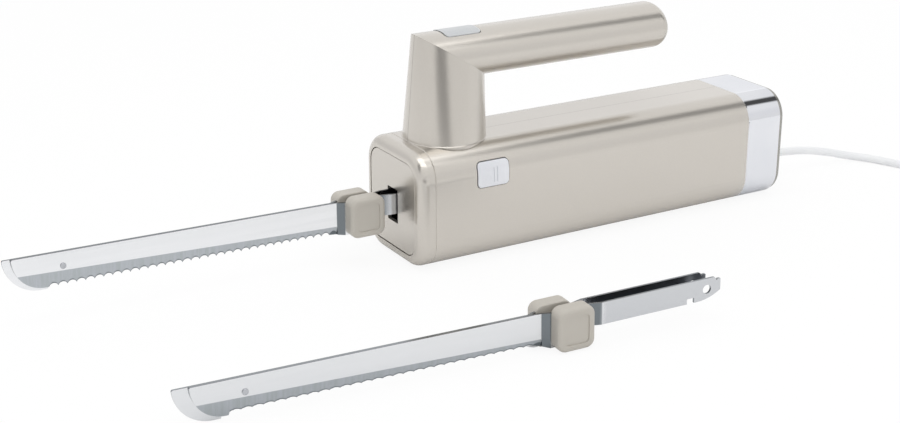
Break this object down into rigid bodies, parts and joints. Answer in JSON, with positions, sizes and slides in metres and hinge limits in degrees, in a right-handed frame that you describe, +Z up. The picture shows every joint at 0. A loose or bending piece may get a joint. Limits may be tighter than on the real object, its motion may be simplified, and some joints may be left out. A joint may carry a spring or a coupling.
{
  "type": "electric carving knife",
  "caption": "Corded electric carving knife with twin reciprocating serrated blades, bow grip, power button, blade release and a spare blade set.",
  "frame": {"origin": "centre of the flat underside of the housing, at the surface that it stands on", "axes": "-X to the blade tips, +X to the cord, +Z up to the grip, -Y to the release button"},
  "size_m": [0.6758, 0.1874, 0.1256],
  "materials": {
    "shell_paint": "satin metallic paint, champagne",
    "collar_chrome": "bright plating",
    "button_silver": "satin silver",
    "blade_steel": "ground and polished",
    "pad_plastic": "fine matt",
    "inner_steel": "plain",
    "bearing_bronze": "sintered",
    "copper": "enamelled",
    "ferrite": "matt",
    "chassis_plastic": "moulded",
    "gear_plastic": "nylon",
    "black_plastic": "moulded",
    "board_green": "coated",
    "lead_rubber": "insulated",
    "cord_rubber": "smooth",
    "plug_plastic": "moulded",
    "pin_metal": "nickel plate"
  },
  "bodies": {
    "housing": {"front_frame": "shell_paint", "front_panel": "shell_paint", "housing_left_shell": "shell_paint", "housing_right_shell": "shell_paint", "shell_screws": "inner_steel", "rear_collar": "collar_chrome", "rear_cap": "shell_paint", "grip_cover": "shell_paint", "microswitch": "black_plastic", "switch_holder": "chassis_plastic", "power_button_spring": "inner_steel", "chassis_left": "chassis_plastic", "chassis_right": "chassis_plastic", "gear_axle": "inner_steel", "axle_bushes": "bearing_bronze", "shaft_bearings": "bearing_bronze", "release_spring": "inner_steel", "motor_can": "inner_steel", "motor_magnets": "ferrite", "motor_end_cap": "black_plastic", "brushes": "ferrite", "motor_screws": "inner_steel", "circuit_board": "board_green", "board_parts": "black_plastic", "inner_leads": "lead_rubber", "cord_tail": "cord_rubber", "strain_relief": "cord_rubber", "cord_clamp": "chassis_plastic", "clamp_screws": "inner_steel", "cord": "cord_rubber", "cord_coil": "cord_rubber", "plug_body": "plug_plastic", "plug_pins": "pin_metal"},
    "armature": {"armature_core": "inner_steel", "armature_windings": "copper", "commutator": "copper", "motor_shaft": "inner_steel", "fan": "black_plastic", "worm": "inner_steel"},
    "drive_gear": {"drive_gear": "gear_plastic", "eccentric_discs": "gear_plastic"},
    "near_carrier": {"near_carrier": "gear_plastic", "near_latch_spring": "inner_steel"},
    "far_carrier": {"far_carrier": "gear_plastic", "far_latch_spring": "inner_steel"},
    "near_blade": {"near_blade": "blade_steel", "near_pad": "pad_plastic", "blade_rivet": "blade_steel"},
    "far_blade": {"far_blade": "blade_steel", "far_pad": "pad_plastic"},
    "power_button": {"power_button": "button_silver", "switch_plunger": "black_plastic"},
    "release_button": {"release_button": "button_silver"},
    "release_bar": {"release_bar": "gear_plastic"},
    "spare_far_blade": {"spare_far_blade": "blade_steel", "spare_far_pad": "pad_plastic"},
    "spare_near_blade": {"spare_near_blade": "blade_steel", "spare_near_pad": "pad_plastic", "spare_rivet": "blade_steel"}
  },
  "joints": [
    {"name": "armature_spin", "type": "hinge", "parent": "housing", "child": "armature", "pos_m": [0.01335, 0, 0.0415], "axis": [1, 0, 0], "range_deg": [-1080, 1080]},
    {"name": "drive_gear_spin", "type": "hinge", "parent": "housing", "child": "drive_gear", "pos_m": [-0.03165, 0, 0.025], "axis": [0, 1, 0], "range_deg": [-90, 90]},
    {"name": "near_carrier_slide", "type": "slide", "parent": "housing", "child": "near_carrier", "axis": [1, 0, 0], "range_m": [-0.002, 0.002]},
    {"name": "far_carrier_slide", "type": "slide", "parent": "housing", "child": "far_carrier", "axis": [1, 0, 0], "range_m": [-0.002, 0.002]},
    {"name": "near_blade_pull", "type": "slide", "parent": "near_carrier", "child": "near_blade", "axis": [-1, 0, 0], "range_m": [0, 0.09]},
    {"name": "far_blade_pull", "type": "slide", "parent": "far_carrier", "child": "far_blade", "axis": [-1, 0, 0], "range_m": [0, 0.09]},
    {"name": "power_button_press", "type": "slide", "parent": "housing", "child": "power_button", "axis": [0, 0, -1], "range_m": [0, 0.0022], "stiffness_N_per_m": 600, "springref_m": -0.002, "deforming": ["power_button_spring"]},
    {"name": "release_button_press", "type": "slide", "parent": "housing", "child": "release_button", "axis": [0, 1, 0], "range_m": [0, 0.003], "stiffness_N_per_m": 500, "springref_m": -0.002},
    {"name": "release_bar_slide", "type": "slide", "parent": "housing", "child": "release_bar", "axis": [0, 0, -1], "range_m": [0, 0.003], "stiffness_N_per_m": 300, "springref_m": -0.002, "deforming": ["release_spring", "near_latch_spring", "far_latch_spring"]},
    {"name": "spare_set_lift", "type": "slide", "parent": "housing", "child": "spare_far_blade", "axis": [0, 0, 1], "range_m": [0, 0.05]},
    {"name": "spare_blade_slide", "type": "slide", "parent": "spare_far_blade", "child": "spare_near_blade", "axis": [0.9974, -0.0697, 0.0201], "range_m": [-0.0075, 0.0007]}
  ],
  "couplings": [
    {"joint": "drive_gear_spin", "follows": "armature_spin", "ratio": -0.083333},
    {"joint": "near_carrier_slide", "follows": "armature_spin", "m_per_rad": -0.0001061},
    {"joint": "far_carrier_slide", "follows": "armature_spin", "m_per_rad": 0.0001061},
    {"joint": "far_blade_pull", "follows": "near_blade_pull", "ratio": 1},
    {"joint": "release_bar_slide", "follows": "release_button_press", "ratio": 1}
  ]
}
